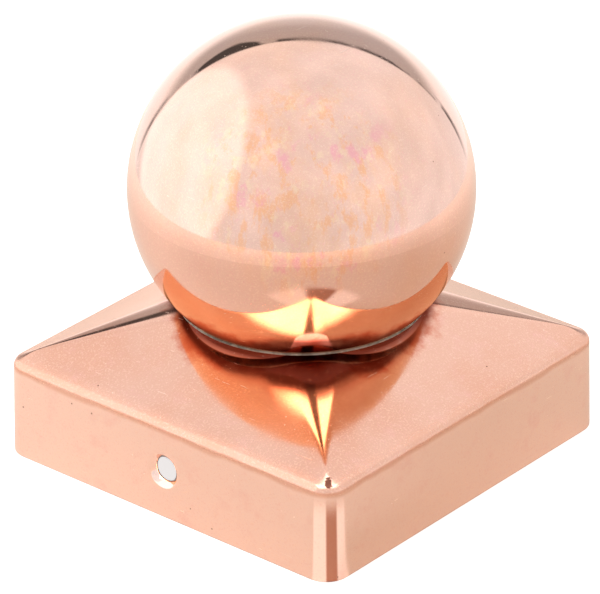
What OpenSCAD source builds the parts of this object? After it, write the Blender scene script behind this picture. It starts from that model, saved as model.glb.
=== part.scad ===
/* [Hood] */
// Width of the hood across the rim, outside
rim_w = 74.4; // [66:0.1:120]
// Thickness of the hood's sheet
sheet = 0.6; // [0.5:0.05:1.2]
// Height of the skirt, from the rim to the eave
skirt_h = 17.6; // [12:0.1:30]
// How much further out each wall stands at the rim than at the eave
flare = 0.4; // [0.2:0.05:0.8]
// Radius of the skirt's corners at the eave, outside
corner_r = 4; // [3:0.1:6]
// Outside radius of the bend between the skirt and the roof
fold_r = 1.6; // [1.3:0.1:2.4]
// Slope of the roof's four faces, in degrees
pitch = 25.5; // [20:0.5:30]
// Radius that the rounded hips would run into at the crown, were it not cut off by the seat
crown_r = 10; // [6:0.5:14]

/* [Ball seat] */
// Radius of the raised round seat at the peak, outside
seat_r = 20.6; // [12:0.1:22]
// Height that the seat stands above the highest point of a hip beside it
seat_step = 0.3; // [0.2:0.05:2]
// Thickness of the sealing ring
seal_t = 0.4; // [0.3:0.1:1.5]
// How far the sealing ring shows past the seat
seal_proud = 1.2; // [0.2:0.1:1.5]
// Width of the sealing ring, from its inside to its outside
seal_w = 3; // [2:0.1:5]

/* [Ball] */
// Diameter of the ball
ball_d = 60; // [52:0.5:90]
// Thickness of the ball's shells
ball_t = 0.6; // [0.5:0.05:1.2]
// How far the ball's flat floor reaches out past the seat
floor_over = 1.1; // [0.6:0.1:2]
// Height of the joint band behind the equator
lip_h = 8; // [4:0.5:16]
// Thickness of the joint band
lip_t = 0.6; // [0.4:0.05:1.2]

/* [Fixing of the ball] */
// Diameter of the clamp bolt's shank
bolt_d = 6; // [4:0.5:8]
// Length of the shank under the head
bolt_l = 12; // [10:1:20]
// Width of the bolt's head across its flats
bolt_af = 10; // [7:0.5:13]
// Height of the bolt's head
bolt_head_h = 4; // [3:0.1:6]
// Outside diameter of the flat washer
washer_d = 18; // [14:1:26]
// Thickness of the flat washer
washer_t = 1.6; // [1:0.1:3]
// Outside diameter of the spring washer
spring_d = 11.8; // [9:0.1:16]
// Thickness of the spring washer
spring_t = 1.6; // [1:0.1:2.5]
// Diameter of the bush's flange, inside the ball
bush_flange_d = 20; // [16:1:30]
// Thickness of the bush's flange
bush_flange_t = 1.5; // [1:0.1:3]
// Diameter of the bush's barrel
bush_d = 12; // [10:0.5:16]
// Height of the bush, flange included
bush_h = 9; // [6:0.5:16]

/* [Screw holes] */
// Diameter of each screw hole
hole_d = 4.5; // [3:0.1:6]
// Diameter of the dimple's mouth round each hole
dimple_d = 6.4; // [5:0.1:9]
// Depth of the dimple below the skirt's outer face
dimple_depth = 0.8; // [0.4:0.1:1]
// Height of the screw holes above the rim
hole_z = 8.9; // [7:0.1:11]

/* [Clearances] */
// Radial gap between the bolt and the plain holes that it passes
bolt_gap = 0.3; // [0.2:0.05:0.5]
// Radial gap between the bolt and the bush's thread
thread_gap = 0.05; // [0.02:0.01:0.1]
// Radial gap that the brazing metal fills behind the equator
braze_gap = 0.05; // [0.02:0.01:0.1]

/* [Hidden] */
$fn = 96;
COPPER = [0.82, 0.50, 0.38];
GREY = [0.45, 0.45, 0.44];
STEEL = [0.72, 0.73, 0.74];
BRASS = [0.80, 0.66, 0.36];
cut = 1; // how far a cutter runs past what it cuts

// The hood's walls and roof, worked out round one corner's upright axis
rim_r = corner_r + flare; // corner radius at the rim
axis_xy = rim_w / 2 - rim_r; // distance of each corner's axis from the middle
lean = atan(flare / skirt_h);
shoulder_z = skirt_h + corner_r * tan(pitch); // where each hip starts, over a corner's axis
crown_z = shoulder_z + (axis_xy - crown_r) * tan(pitch);
crown_edge = 0.01; // thickness of the disc that the crown is drawn with
hip_run = axis_xy * sqrt(2); // from a corner's axis to the middle, along the diagonal
crest_rise = (crown_z - shoulder_z) / (hip_run - crown_r); // slope of a hip's crest

// Heights, from the rim up
seat_z = shoulder_z + (hip_run - seat_r) * crest_rise + seat_step;
ball_base_z = seat_z + seal_t;
ball_r = ball_d / 2;
floor_r = seat_r + floor_over; // radius of the flat floor that the ball stands on
ball_z = ball_base_z + sqrt(ball_r * ball_r - floor_r * floor_r);
ball_in_r = ball_r - ball_t;
washer_z = seat_z - sheet;
spring_z = washer_z - washer_t;
head_z = spring_z - spring_t;
lip_out_r = ball_in_r - braze_gap;
hole_r = hole_d / 2;
bolt_hole_r = bolt_d / 2 + bolt_gap;
wall_y = rim_w / 2 - flare * hole_z / skirt_h; // outer face of the skirt at the holes' height
lip_wall = sheet; // metal round the bottom of each dimple
spring_split = 1; // width of the spring washer's cut
bolt_chamfer = 0.6;
bush_chamfer = 0.8;
fold_min = 0.3; // the least radius inside the bend

// Outline of a wall and the roof over it, moved inwards by `in`, from a corner's axis outwards
function wall_x(z, in) = rim_r - flare * z / skirt_h - in / cos(lean);
function roof_z(x, in) = skirt_h + (corner_r - x) * tan(pitch) - in / cos(pitch);
function eave_z(in) = (skirt_h + (corner_r - rim_r + in / cos(lean)) * tan(pitch) - in / cos(pitch))
                      / (1 - flare / skirt_h * tan(pitch));

module wall_outline(in, bottom) {
    top = eave_z(in);
    edge = wall_x(top, in);
    bend = max(fold_r - in, fold_min);
    turn = 90 - pitch - lean;
    back = bend * tan(turn / 2);
    low = [edge + back * sin(lean), top - back * cos(lean)];
    high = [edge - back * cos(pitch), top + back * sin(pitch)];
    centre = [low[0] - bend * cos(lean), low[1] - bend * sin(lean)];
    polygon([[0, bottom], [wall_x(bottom, in), bottom], low, centre, high, [0, roof_z(0, in)]]);
    intersection() {
        translate(centre) circle(bend);
        polygon([centre, low, [edge + bend, top + bend], high]);
    }
}

// The hood as a solid block, moved inwards by `in`: four lathe-turned corners and the crown, with a skin
// stretched over them. Its faces are flat, and its hips round off from each corner towards the crown.
module hood_block(in, bottom) {
    hull() {
        for (turn = [0:90:270]) rotate([0, 0, turn]) translate([axis_xy, axis_xy, 0])
            rotate_extrude($fn = 32) wall_outline(in, bottom);
        translate([0, 0, crown_z - crown_edge - in / cos(pitch)])
            cylinder(h = crown_edge, r = crown_r, $fn = 48);
    }
}

module hood_form(in, bottom) {
    top = seat_z - in;
    intersection() {
        hood_block(in, bottom);
        translate([0, 0, bottom - cut]) cylinder(h = top - seat_step / 4 - bottom + cut, r = rim_w);
    }
    translate([0, 0, skirt_h]) cylinder(h = top - skirt_h, r = seat_r - in);
}

module at_holes() {
    for (side = [0, 180]) rotate([0, 0, side]) translate([0, -wall_y, hole_z]) rotate([-90, 0, 0])
        children();
}

module hood() {
    color(COPPER) difference() {
        union() {
            difference() {
                hood_form(0, 0);
                hood_form(sheet, -cut);
            }
            at_holes() translate([0, 0, sheet / 2]) cylinder(h = dimple_depth + lip_wall - sheet / 2,
                r1 = dimple_d / 2 + lip_wall, r2 = hole_r + lip_wall);
        }
        at_holes() {
            cylinder(h = dimple_depth, r1 = dimple_d / 2, r2 = hole_r);
            translate([0, 0, -cut]) cylinder(h = dimple_depth + lip_wall + 2 * cut, r = hole_r);
            translate([0, 0, -cut]) cylinder(h = cut, r = dimple_d / 2);
        }
        translate([0, 0, washer_z - cut]) cylinder(h = sheet + 2 * cut, r = bolt_hole_r);
    }
}

module seal_ring() {
    out_r = seat_r + seal_proud;
    color(GREY) translate([0, 0, seat_z]) difference() {
        cylinder(h = seal_t, r = out_r);
        translate([0, 0, -cut]) cylinder(h = seal_t + 2 * cut, r = out_r - seal_w);
    }
}

module ball_lower() {
    color(COPPER) difference() {
        translate([0, 0, ball_z]) sphere(ball_r);
        translate([0, 0, ball_z]) cylinder(h = ball_r + cut, r = ball_r + cut);
        translate([0, 0, ball_z - ball_r - cut]) cylinder(h = ball_base_z - ball_z + ball_r + cut, r = ball_r);
        intersection() {
            translate([0, 0, ball_z]) sphere(ball_in_r);
            translate([0, 0, ball_base_z + ball_t]) cylinder(h = ball_d, r = ball_r);
        }
        translate([0, 0, ball_base_z - cut]) cylinder(h = ball_t + 2 * cut, r = bolt_hole_r);
    }
}

module ball_upper() {
    color(COPPER) difference() {
        translate([0, 0, ball_z]) sphere(ball_r);
        translate([0, 0, ball_z]) sphere(ball_in_r);
        translate([0, 0, ball_z - ball_r - cut]) cylinder(h = ball_r + cut, r = ball_r + cut);
    }
}

module ball_lip() {
    color(COPPER) translate([0, 0, ball_z]) intersection() {
        difference() {
            sphere(lip_out_r);
            sphere(lip_out_r - lip_t);
        }
        cylinder(h = lip_h, r = ball_r, center = true);
    }
}

module threaded_bush() {
    color(BRASS) translate([0, 0, ball_base_z + ball_t]) difference() {
        union() {
            cylinder(h = bush_flange_t, d = bush_flange_d);
            cylinder(h = bush_h - bush_chamfer, d = bush_d);
            translate([0, 0, bush_h - bush_chamfer])
                cylinder(h = bush_chamfer, d1 = bush_d, d2 = bush_d - 2 * bush_chamfer);
        }
        translate([0, 0, -cut]) cylinder(h = bush_h + 2 * cut, r = bolt_d / 2 + thread_gap);
    }
}

module clamp_bolt() {
    color(STEEL) {
        translate([0, 0, head_z - bolt_head_h]) intersection() {
            cylinder(h = bolt_head_h, d = bolt_af / cos(30), $fn = 6);
            cylinder(h = bolt_head_h + bolt_chamfer, d1 = bolt_af, d2 = bolt_af + 4 * bolt_head_h);
        }
        translate([0, 0, head_z]) cylinder(h = bolt_l - bolt_chamfer, d = bolt_d);
        translate([0, 0, head_z + bolt_l - bolt_chamfer])
            cylinder(h = bolt_chamfer, d1 = bolt_d, d2 = bolt_d - 2 * bolt_chamfer);
    }
}

module clamp_washer() {
    color(STEEL) translate([0, 0, spring_z]) difference() {
        cylinder(h = washer_t, d = washer_d);
        translate([0, 0, -cut]) cylinder(h = washer_t + 2 * cut, r = bolt_hole_r);
    }
}

module spring_washer() {
    color(STEEL) translate([0, 0, head_z]) difference() {
        cylinder(h = spring_t, d = spring_d);
        translate([0, 0, -cut]) cylinder(h = spring_t + 2 * cut, r = bolt_hole_r);
        rotate([20, 0, 0]) translate([0, -spring_split / 2, -spring_d])
            cube([spring_d, spring_split, 2 * spring_d]);
    }
}

hood();
seal_ring();
ball_lower();
ball_upper();
ball_lip();
threaded_bush();
clamp_bolt();
clamp_washer();
spring_washer();
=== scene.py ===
import math

import bmesh
import bpy
from mathutils import Matrix, Vector


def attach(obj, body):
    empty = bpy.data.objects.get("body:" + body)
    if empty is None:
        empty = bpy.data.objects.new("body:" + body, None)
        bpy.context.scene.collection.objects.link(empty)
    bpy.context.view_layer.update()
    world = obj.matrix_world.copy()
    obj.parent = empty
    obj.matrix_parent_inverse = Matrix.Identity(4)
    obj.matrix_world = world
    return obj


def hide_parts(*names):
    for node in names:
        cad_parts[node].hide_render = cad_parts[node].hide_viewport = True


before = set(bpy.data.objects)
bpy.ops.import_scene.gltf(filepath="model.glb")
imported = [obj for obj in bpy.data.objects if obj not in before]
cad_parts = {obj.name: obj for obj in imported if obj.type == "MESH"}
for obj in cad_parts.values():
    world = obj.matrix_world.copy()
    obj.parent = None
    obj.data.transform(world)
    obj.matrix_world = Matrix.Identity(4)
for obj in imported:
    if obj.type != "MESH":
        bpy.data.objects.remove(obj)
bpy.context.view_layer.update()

# ---- Camera --------------------------------------------------------------------------------------
# A long lens a little above the cap, turned so that two sides of the hood show and the front corner
# points at it.
MM = 0.001
AWAY, FOCAL_LENGTH = 865.3, 299.2
AIM_HEIGHT, AIM_TO_THE_LEFT = 27.45, 0.40
AZIMUTH, ELEVATION, ROLL = math.radians(40.34), math.radians(27.56), math.radians(-0.40)
flat_front = Vector((math.sin(AZIMUTH), -math.cos(AZIMUTH), 0.0))
towards = flat_front * math.cos(ELEVATION) + Vector((0.0, 0.0, math.sin(ELEVATION)))
level = Vector((math.cos(AZIMUTH), math.sin(AZIMUTH), 0.0))
upright = towards.cross(level)
right = level * math.cos(ROLL) + upright * math.sin(ROLL)
up = upright * math.cos(ROLL) - level * math.sin(ROLL)
aim = (Vector((0.0, 0.0, AIM_HEIGHT)) - level * AIM_TO_THE_LEFT) * MM
lens = bpy.data.cameras.new("camera")
lens.sensor_width = 36.0
lens.lens = FOCAL_LENGTH
lens.clip_start = 50 * MM
camera = bpy.data.objects.new("camera", lens)
turn = Matrix((right, up, towards)).transposed().to_4x4()
camera.matrix_world = Matrix.Translation(aim + towards * AWAY * MM) @ turn
bpy.context.scene.collection.objects.link(camera)
bpy.context.scene.camera = camera


# ---- Light tent ----------------------------------------------------------------------------------
# A white fabric tent lit from outside, brightest on the left, with an open back where a paper roll
# hangs and a dark gap shows. Two lamps beside the camera show only where copper mirrors copper.
# Directions are measured along flat_front (toward the camera), level (to its right) and upwards.
SOFT = {"interpolation_type": "SMOOTHSTEP"}


def linear(hex_colour):
    """An sRGB hex colour as the linear RGBA that a shader socket takes."""
    parts = [int(hex_colour[i:i + 2], 16) / 255 for i in (1, 3, 5)]
    return [p / 12.92 if p <= 0.04045 else ((p + 0.055) / 1.055) ** 2.4 for p in parts] + [1.0]


def add_node(tree, kind, inputs=(), out=0, **settings):
    """Adds one shader node with its settings, and gives back one output. inputs holds links or values,
    in the order of the sockets, or by their place or name."""
    node = tree.nodes.new("ShaderNode" + kind)
    for name, value in settings.items():
        setattr(node, name, value)
    for place, value in inputs.items() if isinstance(inputs, dict) else enumerate(inputs):
        if isinstance(value, bpy.types.NodeSocket):
            tree.links.new(value, node.inputs[place])
        else:
            node.inputs[place].default_value = value
    return node.outputs[out]


world = bpy.data.worlds.new("tent")
bpy.context.scene.world = world
world.use_nodes = True
sky = world.node_tree
direction = add_node(sky, "TexCoord", out="Generated")
front = add_node(sky, "VectorMath", (direction, flat_front), "Value", operation="DOT_PRODUCT")
side = add_node(sky, "VectorMath", (direction, level), "Value", operation="DOT_PRODUCT")
height = add_node(sky, "SeparateXYZ", (direction,), "Z")
off_centre = add_node(sky, "Math", (side,), operation="ABSOLUTE")
bounces = add_node(sky, "LightPath", out="Ray Depth")
twice = add_node(sky, "MapRange", (bounces, 2.4, 2.6), **SOFT)
seen = add_node(sky, "LightPath", out="Is Camera Ray")

# fabric walls, a little dimmer round the camera and much brighter on the left
wrinkle = add_node(sky, "TexNoise", {"Vector": direction, "Scale": 2.2, "Detail": 3.0})
walls = add_node(sky, "MapRange", (wrinkle, 0.3, 0.7, 1.08, 1.24), **SOFT)
round_camera = add_node(sky, "MapRange", (front, 0.75, 1.0, 0.0, -0.14), **SOFT)
lamp_side = flat_front * -0.10 + level * -0.96 + Vector((0, 0, 0.25))
to_lamp = add_node(sky, "VectorMath", (direction, lamp_side), "Value", operation="DOT_PRODUCT")
lit_wall = add_node(sky, "MapRange", (to_lamp, 0.65, 0.75, 0.0, 0.46), **SOFT)
for more in (round_camera, lit_wall):
    walls = add_node(sky, "Math", (walls, more), operation="ADD")

# the open back, with the paper roll hanging in it: grey above, white below
past_back = add_node(sky, "MapRange", (front, -0.74, -0.765), **SOFT)
above_roll = add_node(sky, "MapRange", (height, -0.05, 0.20), **SOFT)
grey = add_node(sky, "MapRange", (front, -1.0, -0.91, 0.86, 0.62), **SOFT)
roll = add_node(sky, "Mix", {0: above_roll, 2: 1.3, 3: grey}, clamp_factor=True)
glow = add_node(sky, "Mix", {0: past_back, 2: walls, 3: roll}, clamp_factor=True)

# the dark gap round the opening, thick and ragged at the upper left, a broken line elsewhere
ragged = add_node(sky, "TexNoise", {"Vector": direction, "Scale": 3.4, "Detail": 4.0})
to_left = add_node(sky, "MapRange", (side, -0.20, -0.33), **SOFT)
high = add_node(sky, "MapRange", (height, 0.25, 0.4), **SOFT)
on_left = add_node(sky, "Math", (to_left, high), operation="MULTIPLY")
far_edge = add_node(sky, "MapRange", (on_left, 0.0, 1.0, -0.778, -0.845))
past_edge = add_node(sky, "Math", (front, far_edge), operation="SUBTRACT")
broken = add_node(sky, "Math", (on_left, 0.14, ragged), operation="MULTIPLY_ADD")
gap = add_node(sky, "MapRange", (front, -0.748, -0.762), **SOFT)
for share in (add_node(sky, "MapRange", (past_edge, -0.03, 0.01), **SOFT),
              add_node(sky, "MapRange", (broken, 0.42, 0.52), **SOFT),
              add_node(sky, "MapRange", (height, -0.35, -0.05, 0.0, 0.85), **SOFT)):
    gap = add_node(sky, "Math", (gap, share), operation="MULTIPLY")
glow = add_node(sky, "Mix", {0: gap, 2: glow, 3: 0.0})

# the two lamps, either side of a dark slot, in a front wall that is a little dim and warm
lamps = add_node(sky, "MapRange", (front, 0.55, 0.72, 0.0, 7.6), **SOFT)
for share in (add_node(sky, "MapRange", (off_centre, 0.13, 0.22), **SOFT),
              add_node(sky, "MapRange", (height, -0.02, 0.10), **SOFT), twice):
    lamps = add_node(sky, "Math", (lamps, share), operation="MULTIPLY")
slot = add_node(sky, "MapRange", (off_centre, 0.20, 0.12, 0.0, 0.62), **SOFT)
in_front = add_node(sky, "MapRange", (front, 0.5, 0.7), **SOFT)
slot = add_node(sky, "Math", (slot, in_front), operation="MULTIPLY")
dimmed = add_node(sky, "Math", (slot, 0.12), operation="MAXIMUM")
dimmed = add_node(sky, "Math", (twice, dimmed), operation="MULTIPLY")
glow = add_node(sky, "Mix", {0: dimmed, 2: glow, 3: 0.0})
glow = add_node(sky, "Math", (glow, lamps), operation="ADD")
glow = add_node(sky, "Mix", {0: seen, 2: glow, 3: 1.0})
tint = add_node(sky, "Mix", {0: twice, 6: linear("#fffdfb"), 7: linear("#ffdcb4")}, 2, data_type="RGBA")
sky.links.new(tint, sky.nodes["Background"].inputs["Color"])
sky.links.new(glow, sky.nodes["Background"].inputs["Strength"])
bpy.context.scene.view_settings.view_transform = "Standard"

# One lamp at the upper left gives the shading; copper doesn't mirror it. The other, over the front
# corner, is mirrored by the hood alone, which the Hood section sees to.
for name, centre, size, watts, mirrored in (
        ("shadow_lamp", flat_front * 0.02 + level * -0.16 + Vector((0, 0, 0.22)), (0.12, 0.12), 0.6, False),
        ("corner_lamp", flat_front * 0.10 + level * 0.01 + Vector((0, 0, 0.32)), (0.40, 0.26), 0.80, True)):
    light = bpy.data.lights.new(name, "AREA")
    light.shape = "RECTANGLE"
    light.size, light.size_y = size
    light.energy = watts
    lamp = bpy.data.objects.new(name, light)
    turned = (centre - Vector((0, 0, 20 * MM))).to_track_quat("Z", "Y")
    lamp.matrix_world = Matrix.Translation(centre) @ turned.to_matrix().to_4x4()
    lamp.visible_glossy = mirrored
    bpy.context.scene.collection.objects.link(lamp)

# ---- Table ---------------------------------------------------------------------------------------
# A round board of matt white paper, lit a little from below as a light table is, and brighter towards
# its edge. At the foot of the front corner it is marked with two white bands and a dark one, which
# that corner mirrors.
TABLE_R, TABLE_DROP = 200.0, 0.1
CORNER_AXIS = Vector((32.8, -32.8, 0.0))
FAN_AHEAD = 2.3


def new_object(name, shape):
    """Turns a bmesh into a smooth object at the origin, with its sharp corners kept sharp."""
    sharp = math.radians(38)
    for face in shape.faces:
        face.smooth = True
    for edge in shape.edges:
        if len(edge.link_faces) == 2 and edge.calc_face_angle() > sharp:
            edge.smooth = False
    mesh = bpy.data.meshes.new(name)
    shape.to_mesh(mesh)
    shape.free()
    piece = bpy.data.objects.new(name, mesh)
    bpy.context.scene.collection.objects.link(piece)
    return piece


def new_material(name):
    """A new material, its node tree and shader, and the place on its piece in millimetres."""
    material = bpy.data.materials.new(name)
    material.use_nodes = True
    tree = material.node_tree
    here = add_node(tree, "TexCoord", out="Object")
    spot = add_node(tree, "Mapping", {"Vector": here, "Scale": (1 / MM, 1 / MM, 1 / MM)})
    return material, tree, tree.nodes["Principled BSDF"], spot


board = bmesh.new()
bmesh.ops.create_circle(board, cap_ends=True, segments=64, radius=TABLE_R * MM)
bmesh.ops.translate(board, verts=board.verts, vec=(0.0, 0.0, -TABLE_DROP * MM))
floor = new_object("floor", board)

# Matt paper on opal glass: no gloss, and a glow that falls off in front of the cap.
paper, tree, shader, spot = new_material("white_paper")
looked_at = add_node(tree, "LightPath", out="Is Camera Ray")
along = add_node(tree, "VectorMath", (spot, flat_front), "Value", operation="DOT_PRODUCT")
across = add_node(tree, "VectorMath", (spot, level), "Value", operation="DOT_PRODUCT")
out_from_cap = add_node(tree, "VectorMath", (spot,), "Value", operation="LENGTH")
lit = add_node(tree, "MapRange", (along, -15, 50, 0.33, 0.20), **SOFT)
for more in (add_node(tree, "MapRange", (across, 0, 30, 0.0, -0.01), **SOFT),
             add_node(tree, "MapRange", (out_from_cap, 90, TABLE_R, 0.0, 0.42), **SOFT)):
    lit = add_node(tree, "Math", (lit, more), operation="ADD")
# the bands fan out from just behind the corner's face, so that its round edge mirrors them upright
fan_centre = CORNER_AXIS + flat_front * FAN_AHEAD
from_corner = add_node(tree, "VectorMath", (spot, fan_centre), operation="SUBTRACT")
ahead = add_node(tree, "VectorMath", (from_corner, flat_front), "Value", operation="DOT_PRODUCT")
aside = add_node(tree, "VectorMath", (from_corner, level), "Value", operation="DOT_PRODUCT")
swing = add_node(tree, "Math", (aside, ahead), operation="ARCTAN2")
close = add_node(tree, "VectorMath", (from_corner,), "Value", operation="LENGTH")
close = add_node(tree, "MapRange", (close, 34, 26), **SOFT)
EDGE = 0.10
for start, end, strength in ((-1.10, 1.58, 0.48), (-0.05, 0.84, 0.04)):
    band = add_node(tree, "MapRange", (swing, start - EDGE, start + EDGE), **SOFT)
    for share in (add_node(tree, "MapRange", (swing, end + EDGE, end - EDGE), **SOFT), close):
        band = add_node(tree, "Math", (band, share), operation="MULTIPLY")
    lit = add_node(tree, "Mix", {0: band, 2: lit, 3: strength})
lit = add_node(tree, "Mix", {0: looked_at, 2: lit, 3: 0.80})
tree.links.new(lit, shader.inputs["Emission Strength"])
tone = add_node(tree, "Mix", {0: band, 6: linear("#979393"), 7: linear("#7c5a4e")}, 2, data_type="RGBA")
tone = add_node(tree, "Mix", {0: looked_at, 6: tone, 7: linear("#b4b4b4")}, 2, data_type="RGBA")
tree.links.new(tone, shader.inputs["Base Color"])
shader.inputs["Emission Color"].default_value = linear("#fffdfc")
shader.inputs["Roughness"].default_value = 0.9
# looked at from below it is clear, so that the inside of the cap shows
below_it = add_node(tree, "NewGeometry", out="Backfacing")
cleared = add_node(tree, "Math", (below_it, looked_at), operation="MULTIPLY")
clear = add_node(tree, "BsdfTransparent")
surface = add_node(tree, "MixShader", (cleared, shader.outputs["BSDF"], clear))
tree.links.new(surface, tree.nodes["Material Output"].inputs["Surface"])
floor.data.materials.append(paper)

# ---- Hood ----------------------------------------------------------------------------------------
# One square pressing of 0.6 mm copper sheet: a slightly flared skirt, a rounded fold, and a low
# pyramid roof whose hips round off towards the middle, with a round seat raised for the ball. Two
# screw holes are pressed in from outside.
RIM_W, SKIRT_H, FLARE, SHEET = 74.4, 17.6, 0.4, 0.6
CORNER_R, FOLD_R = 4.0, 1.6
PITCH = math.radians(25.5)
CROWN_R, SEAT_R, SEAT_Z = 10.0, 20.6, 27.52
HOLE_Z, HOLE_R, DIMPLE_R, DIMPLE_DEPTH = 8.9, 2.15, 3.25, 0.8
AXIS = RIM_W / 2 - CORNER_R - FLARE
TIP_Z = SKIRT_H + CORNER_R * math.tan(PITCH)
CROWN_Z = TIP_Z + (AXIS - CROWN_R) * math.tan(PITCH)


def roof_height(x, y):
    """Height of the pressed roof over a plan point, before the seat is raised."""
    x, y = abs(x), abs(y)
    flat = SKIRT_H + (AXIS + CORNER_R - max(x, y)) * math.tan(PITCH)
    past_x, past_y = x - AXIS, y - AXIS
    if past_x > 0 and past_y > 0:
        return TIP_Z - math.hypot(past_x, past_y) * math.tan(PITCH)
    # the hip is a cone whose point is over the corner's axis and whose base is the round crown
    span = past_x * past_x + past_y * past_y
    along = AXIS * (past_x + past_y)
    inside = along * along - span * (2 * AXIS * AXIS - CROWN_R * CROWN_R)
    if span < 1e-9:
        return TIP_Z
    if past_x > 0 or past_y > 0 or inside <= 0:
        return flat
    reach = (-along - math.sqrt(inside)) / span
    if AXIS + reach * past_x < 0 or AXIS + reach * past_y < 0:
        return flat
    return TIP_Z + (CROWN_Z - TIP_Z) / reach


# the columns of the sheet's grid: which quarter, the axis that its lower part bends round, the way
# out from that axis, and where it meets the seat
SIDE_STEPS, CORNER_STEPS, ROOF_RINGS = 28, 14, 26
EIGHTH = math.pi / 4
HIP_SHARE = math.radians(12.9)
columns = []
for quarter in range(4):
    quarter_turn = quarter * math.pi / 2
    for step in range(SIDE_STEPS):
        part = step / SIDE_STEPS
        at_seat = -EIGHTH + HIP_SHARE + part * 2 * (EIGHTH - HIP_SHARE)
        columns.append((quarter_turn, Vector((AXIS, -AXIS + 2 * AXIS * part, 0.0)), 0.0, at_seat))
    for step in range(CORNER_STEPS):
        part = step / CORNER_STEPS
        at_seat = EIGHTH - HIP_SHARE + part * 2 * HIP_SHARE
        columns.append((quarter_turn, Vector((AXIS, AXIS, 0.0)), part * math.pi / 2, at_seat))

# the wall and the fold, as distances out from the columns' axes and heights
WALL_ROWS = (0.0, 0.3, 2.34, 4.69, 7.03, 9.37, 11.72, 14.06, 15.7)
FOLD_STEPS = 8
lean = math.atan(FLARE / SKIRT_H)
eave_z = (SKIRT_H - FLARE * math.tan(PITCH)) / (1 - FLARE / SKIRT_H * math.tan(PITCH))
eave_x = CORNER_R + FLARE - FLARE * eave_z / SKIRT_H
fold_turn = math.pi / 2 - PITCH - lean
fold_back = FOLD_R * math.tan(fold_turn / 2)
fold_foot = Vector((eave_x + fold_back * math.sin(lean), eave_z - fold_back * math.cos(lean)))
centre = fold_foot - Vector((math.cos(lean), math.sin(lean))) * FOLD_R
profile = [(CORNER_R + FLARE - FLARE * z / SKIRT_H, z) for z in WALL_ROWS]
for step in range(FOLD_STEPS + 1):
    angle = lean + fold_turn * step / FOLD_STEPS
    profile.append((centre.x + FOLD_R * math.cos(angle), centre.y + FOLD_R * math.sin(angle)))
# the seat's wall, with a small round at its foot and its top edge: how far out from the seat's radius
# each ring is, and what part of the rise it has made
seat_rings = [(0.50, 0.0), (0.20, 0.07), (0.06, 0.26), (0.02, 0.60), (0.0, 0.88), (-0.10, 0.98),
              (-0.35, 1.0), (-2.5, 1.0), (-17.3, 1.0)]

hood_shape = bmesh.new()
ring_count = len(profile) + ROOF_RINGS + len(seat_rings)
bmesh.ops.create_grid(hood_shape, x_segments=len(columns), y_segments=ring_count - 1, size=0.5)
for vert in hood_shape.verts:
    column = round((vert.co.x + 0.5) * len(columns)) % len(columns)
    ring_number = round((vert.co.y + 0.5) * (ring_count - 1))
    quarter_turn, base, out_angle, at_seat = columns[column]
    out = Vector((math.cos(out_angle), math.sin(out_angle), 0.0))
    seat_out = Vector((math.cos(at_seat), math.sin(at_seat), 0.0))
    if ring_number < len(profile):
        point = base + out * profile[ring_number][0]
        point.z = profile[ring_number][1]
    elif ring_number < len(profile) + ROOF_RINGS:
        part = (ring_number - len(profile) + 1) / (ROOF_RINGS + 1)
        point = (base + out * profile[-1][0]).lerp(seat_out * (SEAT_R + seat_rings[0][0]), part)
        point.z = roof_height(point.x, point.y)
    else:
        step_out, rise = seat_rings[ring_number - len(profile) - ROOF_RINGS]
        point = seat_out * (SEAT_R + step_out)
        foot = seat_out * max(SEAT_R + step_out, SEAT_R)
        foot_z = roof_height(foot.x, foot.y)
        point.z = foot_z + (SEAT_Z - foot_z) * rise
    vert.co = Matrix.Rotation(quarter_turn, 3, "Z") @ point * MM
bmesh.ops.remove_doubles(hood_shape, verts=hood_shape.verts, dist=1e-6)
bmesh.ops.recalc_face_normals(hood_shape, faces=hood_shape.faces)

# The dimpled screw holes: a square patch is taken out of the wall, and its edge is drawn in to the
# hole's round rim, past the dimple's edge, down its slope and through the sheet.
PATCH_X, PATCH_LOW, PATCH_HIGH, NEAR_WALL = 4.7 * MM, 4.7 * MM, 14.0 * MM, 30 * MM
for wall_side in (-1, 1):
    patch = []
    for face in hood_shape.faces:
        middle = face.calc_center_median()
        in_patch = abs(middle.x) < PATCH_X and PATCH_LOW < middle.z < PATCH_HIGH
        if in_patch and middle.y * wall_side > NEAR_WALL:
            patch.append(face)
    bmesh.ops.delete(hood_shape, geom=patch, context="FACES")
    edge_loop = [edge for edge in hood_shape.edges
                 if edge.is_boundary and PATCH_LOW - MM < edge.verts[0].co.z < PATCH_HIGH + MM
                 and edge.verts[0].co.y * wall_side > NEAR_WALL]
    for radius, depth in ((4.1, 0.0), (DIMPLE_R + 0.35, 0.0), (DIMPLE_R, 0.08), (DIMPLE_R - 0.3, 0.30),
                          (HOLE_R + 0.25, DIMPLE_DEPTH), (HOLE_R, DIMPLE_DEPTH + 0.35)):
        drawn = bmesh.ops.extrude_edge_only(hood_shape, edges=edge_loop)["geom"]
        edge_loop = [item for item in drawn if isinstance(item, bmesh.types.BMEdge) and item.is_boundary]
        for vert in {vert for edge in edge_loop for vert in edge.verts}:
            spoke = Vector((vert.co.x, 0.0, vert.co.z - HOLE_Z * MM)).normalized() * radius * MM
            wall_y = RIM_W / 2 - FLARE * (HOLE_Z + spoke.z / MM) / SKIRT_H
            vert.co = (spoke.x, wall_side * (wall_y - depth) * MM, HOLE_Z * MM + spoke.z)
loose = [vert for vert in hood_shape.verts if not vert.link_faces]
bmesh.ops.delete(hood_shape, geom=loose, context="VERTS")
bmesh.ops.recalc_face_normals(hood_shape, faces=hood_shape.faces)
hood = new_object("copper_hood", hood_shape)
wall = hood.modifiers.new("sheet", "SOLIDIFY")
wall.thickness = SHEET * MM
wall.offset = -1.0
smooth = hood.modifiers.new("smooth", "SUBSURF")
smooth.levels = smooth.render_levels = 1


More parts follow.
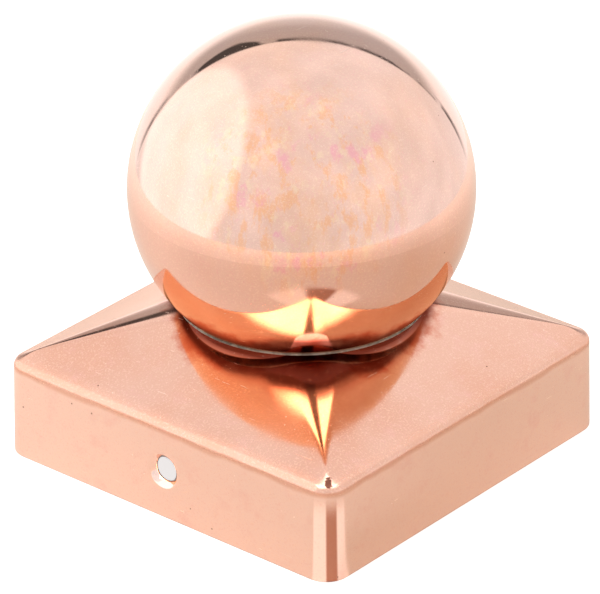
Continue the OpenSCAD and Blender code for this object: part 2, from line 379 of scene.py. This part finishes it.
def polished_copper(name, clean, warm, pink, tint_with_painted_light, wave, rough, painted_shade_and_marks, dull=None):
    """Copper, hand polished: a mirror with a fine grain, heat tint in patches, pits and hairline scratches.
    Each piece adds its tint, painted light and shade, marks and dull places. wave is the depth of its
    hollows."""
    material, tree, shader, spot = new_material(name)
    shader.inputs["Metallic"].default_value = 1.0
    # speck and fleck are the metal's grain and the lines are hairline scratches. All are drawn about a
    # third of a millimetre wide, which is coarser than they are, so that they show
    noises = {}
    for key, size, detail, stretch, turned in (
            ("cloud", 17.0, 3.0, (1, 1, 1), (0, 0, 0)),
            ("speck", 0.33, 1.0, (1, 1, 1), (0, 0, 0)),
            ("fleck", 0.36, 1.0, (1, 1, 1), (0.7, 0.4, 0.2)),
            ("haze", 9.0, 4.0, (1, 1, 1), (0, 0, 0)),
            ("dent", 14.0, 1.0, (1, 1, 1), (0, 0, 0)),
            ("grit", 0.8, 3.0, (1, 1, 1), (0, 0, 0)),
            ("line", 0.5, 1.0, (0.12, 1.6, 1.6), (0.3, 0.5, 0.9)),
            ("cross_line", 0.5, 1.0, (1.6, 0.10, 1.6), (0.9, 0.2, 0.4))):
        stretched = add_node(tree, "Mapping", {"Vector": spot, "Scale": stretch, "Rotation": turned})
        noises[key] = add_node(tree, "TexNoise", {"Vector": stretched, "Scale": 1 / size,
                                                  "Detail": detail})
    # pits: a few cells in a hundred hold a dark spot 0.2 to 0.4 mm across
    cell_size = 2.3
    cells = {"Vector": spot, "Scale": 1 / cell_size}
    chosen = add_node(tree, "MapRange", (add_node(tree, "TexVoronoi", cells, "Color"), 0.83, 0.85), **SOFT)
    inside = add_node(tree, "MapRange", (add_node(tree, "TexVoronoi", cells), 0.085, 0.05), **SOFT)
    pit = add_node(tree, "Math", (chosen, inside), operation="MULTIPLY")
    line = add_node(tree, "MapRange", (noises["line"], 0.745, 0.79), **SOFT)
    cross_line = add_node(tree, "MapRange", (noises["cross_line"], 0.745, 0.79), **SOFT)
    lines = add_node(tree, "Math", (line, cross_line), operation="MAXIMUM")
    # colour: metal under a thin oxide film, then tint and painted light, grain, painted shade and marks,
    # pits, scratches
    layers = [(add_node(tree, "MapRange", (noises["cloud"], 0.38, 0.68, 0.0, 0.35), **SOFT), warm)]
    layers += tint_with_painted_light(tree, spot)
    layers += [(add_node(tree, "MapRange", (noises["speck"], 0.50, 0.72, 0.0, 0.30), **SOFT), "#fbd9c4"),
               (add_node(tree, "MapRange", (noises["fleck"], 0.54, 0.74, 0.0, 0.22), **SOFT), pink)]
    layers += painted_shade_and_marks(tree, spot)
    layers += [(add_node(tree, "Math", (pit, 0.85), operation="MULTIPLY"), "#5a2a1c"),
               (add_node(tree, "Math", (lines, 0.25), operation="MULTIPLY"), "#fff0e2")]
    colour = linear(clean)
    for share, shade in layers:
        colour = add_node(tree, "Mix", {0: share, 6: colour, 7: linear(shade)}, 2, data_type="RGBA")
    tree.links.new(colour, shader.inputs["Base Color"])
    # gloss: hazy where it was handled, dull in the pits and scratches
    haze = add_node(tree, "MapRange", (noises["haze"], 0.35, 0.75, rough, rough + 0.09), **SOFT)
    marked = add_node(tree, "Math", (lines, pit), operation="MAXIMUM")
    haze = add_node(tree, "Math", (marked, 0.15, haze), operation="MULTIPLY_ADD")
    if dull:
        haze = add_node(tree, "Math", (dull(tree, spot), 0.18, haze), operation="MULTIPLY_ADD")
    tree.links.new(haze, shader.inputs["Roughness"])
    # relief: broad shallow hollows, fine grit, pits and scratches
    sunk = add_node(tree, "Math", (lines, -0.4), operation="MULTIPLY")
    sunk = add_node(tree, "Math", (sunk, pit), operation="SUBTRACT")
    relief = add_node(tree, "Bump", {"Height": noises["dent"], "Distance": wave * MM})
    relief = add_node(tree, "Bump", {"Height": noises["grit"], "Distance": 0.0012 * MM, "Normal": relief})
    relief = add_node(tree, "Bump", {"Height": sunk, "Distance": 0.01 * MM, "Normal": relief})
    tree.links.new(relief, shader.inputs["Normal"])
    return material


def sheet_painted_light_and_tint(tree, spot):
    """Skirt painted paler as light, a painted shade line under the fold, brown along it, and blush in
    patches.
    """
    z = add_node(tree, "SeparateXYZ", (spot,), "Z")
    uneven = add_node(tree, "TexNoise", {"Vector": spot, "Scale": 1 / 7.0})
    wander = add_node(tree, "MapRange", (uneven, 0.2, 0.8, -0.3, 0.3), **SOFT)
    wavy_z = add_node(tree, "Math", (z, wander), operation="ADD")
    # painted light: the whole skirt below the fold is painted paler, standing in for the bright floor it
    # mirrors
    paler_skirt_light = add_node(tree, "MapRange", (z, 17.6, 15.8), **SOFT)
    # painted shade: a thin darker line just under the fold
    above = add_node(tree, "MapRange", (wavy_z, 15.5, 16.4, 0.0, 0.42), **SOFT)
    below = add_node(tree, "MapRange", (wavy_z, 17.2, 16.6), **SOFT)
    shade_line_under_fold = add_node(tree, "Math", (above, below), operation="MULTIPLY")
    crest_foot = add_node(tree, "MapRange", (z, 16.8, 17.4, 0.0, 0.35), **SOFT)
    crest_top = add_node(tree, "MapRange", (z, 18.6, 17.8), **SOFT)
    crest = add_node(tree, "Math", (crest_foot, crest_top), operation="MULTIPLY")
    patchy = add_node(tree, "TexNoise", {"Vector": spot, "Scale": 1 / 5.0, "Detail": 5.0, "Roughness": 0.7})
    blush = add_node(tree, "MapRange", (patchy, 0.50, 0.74, 0.0, 0.30), **SOFT)
    return [(paler_skirt_light, "#f5d8cd"), (shade_line_under_fold, "#cf8f6e"), (crest, "#d9a78f"), (blush, "#eeb9b4")]


# where a dark spot on the front corner's fold is centred
DARK_SPOT_CENTRE = (34.85, -34.7, 18.15)


def seat_shade_and_corner_spot(tree, spot):
    """Painted shade round the seat, where ball and hood meet: reddish, then nearly black closest in,
    mottled. A dark spot sits at the tip of the front corner's fold."""
    flat = add_node(tree, "VectorMath", (spot, (1, 1, 0)), operation="MULTIPLY")
    radius = add_node(tree, "VectorMath", (flat,), "Value", operation="LENGTH")
    z = add_node(tree, "SeparateXYZ", (spot,), "Z")
    fine = add_node(tree, "TexNoise", {"Vector": spot, "Scale": 1 / 2.6, "Detail": 4.0, "Roughness": 0.65})
    broad = add_node(tree, "TexNoise", {"Vector": spot, "Scale": 1 / 9.0, "Detail": 2.0})
    broad = add_node(tree, "MapRange", (broad, 0.3, 0.7, -1.6, 1.6))
    fine = add_node(tree, "MapRange", (fine, 0.3, 0.7, -1.2, 1.2))
    wander = add_node(tree, "Math", (fine, broad), operation="ADD")
    reach = add_node(tree, "Math", (radius, wander), operation="ADD")
    # painted shade where the ball meets the hood: reddish round the seat, nearly black closest in
    reddened_shade = add_node(tree, "MapRange", (reach, 25.2, 21.6, 0.0, 0.75), **SOFT)
    tight = add_node(tree, "Math", (wander, 0.22, radius), operation="MULTIPLY_ADD")
    deepest_shade = add_node(tree, "MapRange", (tight, 23.8, 21.8, 0.0, 0.90), **SOFT)
    low_wall = add_node(tree, "MapRange", (z, 24.9, 26.2, 0.50, 1.0), **SOFT)
    deepest_shade = add_node(tree, "Math", (deepest_shade, low_wall), operation="MULTIPLY")
    # a dark spot at the tip of the front corner's fold
    from_spot_centre = add_node(tree, "VectorMath", (spot, DARK_SPOT_CENTRE), operation="SUBTRACT")
    across = add_node(tree, "VectorMath", (from_spot_centre, level * 1.3), "Value", operation="DOT_PRODUCT")
    ahead = add_node(tree, "VectorMath", (from_spot_centre, flat_front * 0.7), "Value", operation="DOT_PRODUCT")
    below = add_node(tree, "SeparateXYZ", (from_spot_centre,), "Z")
    stretched = add_node(tree, "CombineXYZ", (across, ahead, below))
    off_spot_centre = add_node(tree, "VectorMath", (stretched,), "Value", operation="LENGTH")
    rough_edge = add_node(tree, "TexNoise", {"Vector": spot, "Scale": 1 / 0.45, "Detail": 2.0})
    off_spot_centre = add_node(tree, "Math", (rough_edge, 1.2, off_spot_centre), operation="MULTIPLY_ADD")
    dark_spot = add_node(tree, "MapRange", (off_spot_centre, 1.55, 1.25, 0.0, 0.95), **SOFT)
    return [(reddened_shade, "#c4552f"), (deepest_shade, "#571408"), (dark_spot, "#4a2418")]


def on_fold(tree, spot):
    """Along the fold, where the press tool has drawn the metal dull."""
    z = add_node(tree, "SeparateXYZ", (spot,), "Z")
    over = add_node(tree, "MapRange", (z, 15.8, 17.0), **SOFT)
    under = add_node(tree, "MapRange", (z, 19.0, 18.0), **SOFT)
    return add_node(tree, "Math", (over, under), operation="MULTIPLY")


# Pressed copper sheet, buffed: a soft mirror, salmon where it is clean, that blurs the ball a little.
hood.data.materials.append(polished_copper("pressed_copper_sheet", "#e4b5a2", "#d9987a", "#eeb6b4",
                                           sheet_painted_light_and_tint, 0.02, 0.07, seat_shade_and_corner_spot, on_fold))
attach(hood, "root")
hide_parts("hood")
lit_by_corner_lamp = bpy.data.collections.new("lit_by_corner_lamp")
lit_by_corner_lamp.objects.link(hood)
bpy.data.objects["corner_lamp"].light_linking.receiver_collection = lit_by_corner_lamp

# ---- Ball ----------------------------------------------------------------------------------------
# Two spun copper shells, 0.6 mm thick, brazed on a band at the middle and polished together until the
# joint is lost. The lower one has a flat floor with a hole for the bolt. Both carry a painted reflection
# in streaks on the side of the front corner, and the lower one painted shade just above the seat.
BALL_R, BALL_Z, BALL_SHEET = 30.0, 48.63, 0.6
FLOOR_Z, FLOOR_R = 27.92, 21.7


def ball_painted_reflection(tree, spot):
    """Painted reflection: straw and pink in broken upright streaks, mostly on the front, fainter all round.
    """
    from_centre = add_node(tree, "VectorMath", (spot, (0, 0, BALL_Z)), operation="SUBTRACT")
    # painted reflection of the tent's front, centred on the side of the ball that faces the camera
    camera_side = Vector((0.60, -0.68, 0.42)).normalized() / BALL_R
    toward_camera = add_node(tree, "VectorMath", (from_centre, camera_side), "Value", operation="DOT_PRODUCT")
    reflected_share = add_node(tree, "MapRange", (toward_camera, 0.76, 0.93, 0.08, 1.0), **SOFT)
    reflected_streaks = []
    for size, detail, stretch, turned, start, end, most, shade in (
            (7.0, 5.0, (1, 1, 0.6), (0, 0, 0), 0.44, 0.62, 0.45, "#eebc98"),
            (2.2, 5.0, (1, 1, 0.34), (0, 0, 0), 0.50, 0.62, 0.55, "#ecab76"),
            (2.6, 4.0, (1, 1, 0.5), (0.2, 0.3, 0), 0.54, 0.64, 0.40, "#f1d8b4"),
            (5.0, 5.0, (1, 1, 0.7), (0.4, 0.9, 0.1), 0.54, 0.66, 0.80, "#eaa9b2")):
        stretched = add_node(tree, "Mapping", {"Vector": spot, "Scale": stretch, "Rotation": turned})
        patchy = add_node(tree, "TexNoise", {"Vector": stretched, "Scale": 1 / size, "Detail": detail,
                                             "Roughness": 0.65})
        patch = add_node(tree, "MapRange", (patchy, start, end, 0.0, most), **SOFT)
        reflected_streaks.append((add_node(tree, "Math", (patch, reflected_share), operation="MULTIPLY"), shade))
    return reflected_streaks


def ball_seat_shade(tree, spot):
    """Painted shade on the last millimetres above the seat, where ball meets hood: reddish, then nearly
    black.
    """
    z = add_node(tree, "SeparateXYZ", (spot,), "Z")
    uneven = add_node(tree, "TexNoise", {"Vector": spot, "Scale": 1 / 6.0, "Detail": 3.0})
    wander = add_node(tree, "MapRange", (uneven, 0.3, 0.7, -0.35, 0.35))
    wavy_z = add_node(tree, "Math", (z, wander), operation="ADD")
    corner_side = Vector((1, -1, 0)).normalized() / BALL_R
    toward_corner = add_node(tree, "VectorMath", (spot, corner_side), "Value", operation="DOT_PRODUCT")
    higher = add_node(tree, "MapRange", (toward_corner, 0.66, 0.82, 0.0, -2.3), **SOFT)
    wavy_z = add_node(tree, "Math", (wavy_z, higher), operation="ADD")
    # painted shade just above the seat: reddish, then nearly black, higher on the front corner's side
    return [(add_node(tree, "MapRange", (wavy_z, 32.0, 29.8, 0.0, 0.45), **SOFT), "#c4552f"),
            (add_node(tree, "MapRange", (wavy_z, 30.6, 29.0, 0.0, 0.88), **SOFT), "#571408")]


# Spun copper, mirror polished: sharper than the hood and pinker, because it was buffed after brazing.
spun_copper = polished_copper("spun_copper", "#e5c1b4", "#ecb794", "#eba6ae", ball_painted_reflection, 0.012, 0.04,
                              ball_seat_shade)
for name, keep_above in (("ball_upper", True), ("ball_lower", False)):
    shell = bmesh.new()
    bmesh.ops.create_uvsphere(shell, u_segments=144, v_segments=72, radius=BALL_R * MM)
    bmesh.ops.translate(shell, verts=shell.verts, vec=(0.0, 0.0, BALL_Z * MM))
    everything = shell.verts[:] + shell.edges[:] + shell.faces[:]
    bmesh.ops.bisect_plane(shell, geom=everything, dist=1e-7, plane_co=(0, 0, BALL_Z * MM),
                           plane_no=(0, 0, 1), clear_inner=keep_above, clear_outer=not keep_above)
    if not keep_above:
        everything = shell.verts[:] + shell.edges[:] + shell.faces[:]
        bmesh.ops.bisect_plane(shell, geom=everything, dist=1e-7, plane_co=(0, 0, FLOOR_Z * MM),
                               plane_no=(0, 0, 1), clear_inner=True)
        floor_edge = [edge for edge in shell.edges
                      if edge.is_boundary and edge.verts[0].co.z < (FLOOR_Z + 0.1) * MM]
        # the last of these rings is the hole for the bolt
        for radius in (FLOOR_R * 0.985, FLOOR_R * 0.6, FLOOR_R * 0.157):
            drawn = bmesh.ops.extrude_edge_only(shell, edges=floor_edge)["geom"]
            floor_edge = [item for item in drawn
                          if isinstance(item, bmesh.types.BMEdge) and item.is_boundary]
            for vert in {vert for edge in floor_edge for vert in edge.verts}:
                out = Vector((vert.co.x, vert.co.y, 0.0)).normalized() * radius * MM
                vert.co = (out.x, out.y, FLOOR_Z * MM)
    bmesh.ops.recalc_face_normals(shell, faces=shell.faces)
    bmesh.ops.solidify(shell, geom=shell.faces[:], thickness=BALL_SHEET * MM)
    half = new_object("copper_" + name, shell)
    half.data.materials.append(spun_copper)
    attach(half, "root")
    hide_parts(name)

# ---- Sealing ring --------------------------------------------------------------------------------
# A thin grey rubber ring pressed between the ball's floor and the seat. It shows as one fine line, and
# the chamfers at its outer edge keep that line soft.
RING_OUT, RING_IN, RING_LOW, RING_HIGH, RING_CHAMFER = 21.8, 18.8, 27.52, 27.92, 0.12
ring_shape = bmesh.new()
ring_profile = [ring_shape.verts.new((x * MM, 0.0, z * MM)) for x, z in (
    (RING_IN, RING_LOW), (RING_OUT - RING_CHAMFER, RING_LOW), (RING_OUT, RING_LOW + RING_CHAMFER),
    (RING_OUT, RING_HIGH - RING_CHAMFER), (RING_OUT - RING_CHAMFER, RING_HIGH), (RING_IN, RING_HIGH))]
ring_lines = [ring_shape.edges.new(ends) for ends in zip(ring_profile, ring_profile[1:] + ring_profile[:1])]
bmesh.ops.spin(ring_shape, geom=ring_profile + ring_lines, axis=(0, 0, 1), cent=(0, 0, 0),
               angle=2 * math.pi, steps=144, use_merge=True)
bmesh.ops.recalc_face_normals(ring_shape, faces=ring_shape.faces)
ring = new_object("sealing_ring", ring_shape)

# Moulded grey rubber: dark and even, with a soft sheen that comes and goes.
grey_seal, tree, shader, spot = new_material("moulded_grey_rubber")
cloudy = add_node(tree, "TexNoise", {"Vector": spot, "Scale": 1 / 1.5, "Detail": 3.0})
cloudy = add_node(tree, "MapRange", (cloudy, 0.35, 0.65), **SOFT)
grey = add_node(tree, "Mix", {0: cloudy, 6: linear("#86827a"), 7: linear("#55524c")}, 2, data_type="RGBA")
tree.links.new(grey, shader.inputs["Base Color"])
sheen = add_node(tree, "TexNoise", {"Vector": spot, "Scale": 1 / 0.6})
sheen = add_node(tree, "MapRange", (sheen, 0.3, 0.7, 0.28, 0.5), **SOFT)
tree.links.new(sheen, shader.inputs["Roughness"])
ring.data.materials.append(grey_seal)
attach(ring, "root")
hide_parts("seal_ring")

# ---- Fixings under the roof ----------------------------------------------------------------------
# A turned brass bush is brazed into the ball's floor, and a copper band inside the ball backs the joint
# of its halves. A plated steel bolt, a wide washer and a split spring washer clamp the ball to the
# hood from below. They keep the shapes of the CAD model.
def machined(name, bright, dark, rough, groove, *nodes):
    """A turned or plated metal: fine rings from the tool, small stains and a slightly uneven polish."""
    material, tree, shader, spot = new_material(name)
    shader.inputs["Metallic"].default_value = 1.0
    stain = add_node(tree, "TexNoise", {"Vector": spot, "Scale": 1 / 2.2, "Detail": 4.0})
    stain = add_node(tree, "MapRange", (stain, 0.42, 0.68), **SOFT)
    colour = add_node(tree, "Mix", {0: stain, 6: linear(bright), 7: linear(dark)}, 2, data_type="RGBA")
    tree.links.new(colour, shader.inputs["Base Color"])
    polish = add_node(tree, "TexNoise", {"Vector": spot, "Scale": 1 / 1.1, "Detail": 3.0})
    polish = add_node(tree, "MapRange", (polish, 0.3, 0.7, rough, rough + 0.15), **SOFT)
    tree.links.new(polish, shader.inputs["Roughness"])
    # tool marks, drawn about a millimetre apart so that they show
    rings = add_node(tree, "TexWave", {"Vector": spot, "Scale": 1 / groove, "Distortion": 1.5}, "Fac",
                     wave_type="RINGS", rings_direction="Z")
    grooves = add_node(tree, "Bump", {"Height": rings, "Strength": 0.5, "Distance": 0.01 * MM})
    tree.links.new(grooves, shader.inputs["Normal"])
    for node in nodes:
        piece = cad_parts[node]
        piece.data.materials.clear()
        piece.data.materials.append(material)


machined("turned_brass", "#dcb76a", "#a97f3d", 0.22, 0.9, "threaded_bush")
machined("zinc_plated_steel", "#c9ccd0", "#8f949a", 0.25, 1.2, "clamp_bolt", "clamp_washer",
         "spring_washer")
machined("mill_copper", "#dd9c7c", "#a8603f", 0.30, 1.6, "ball_lip")
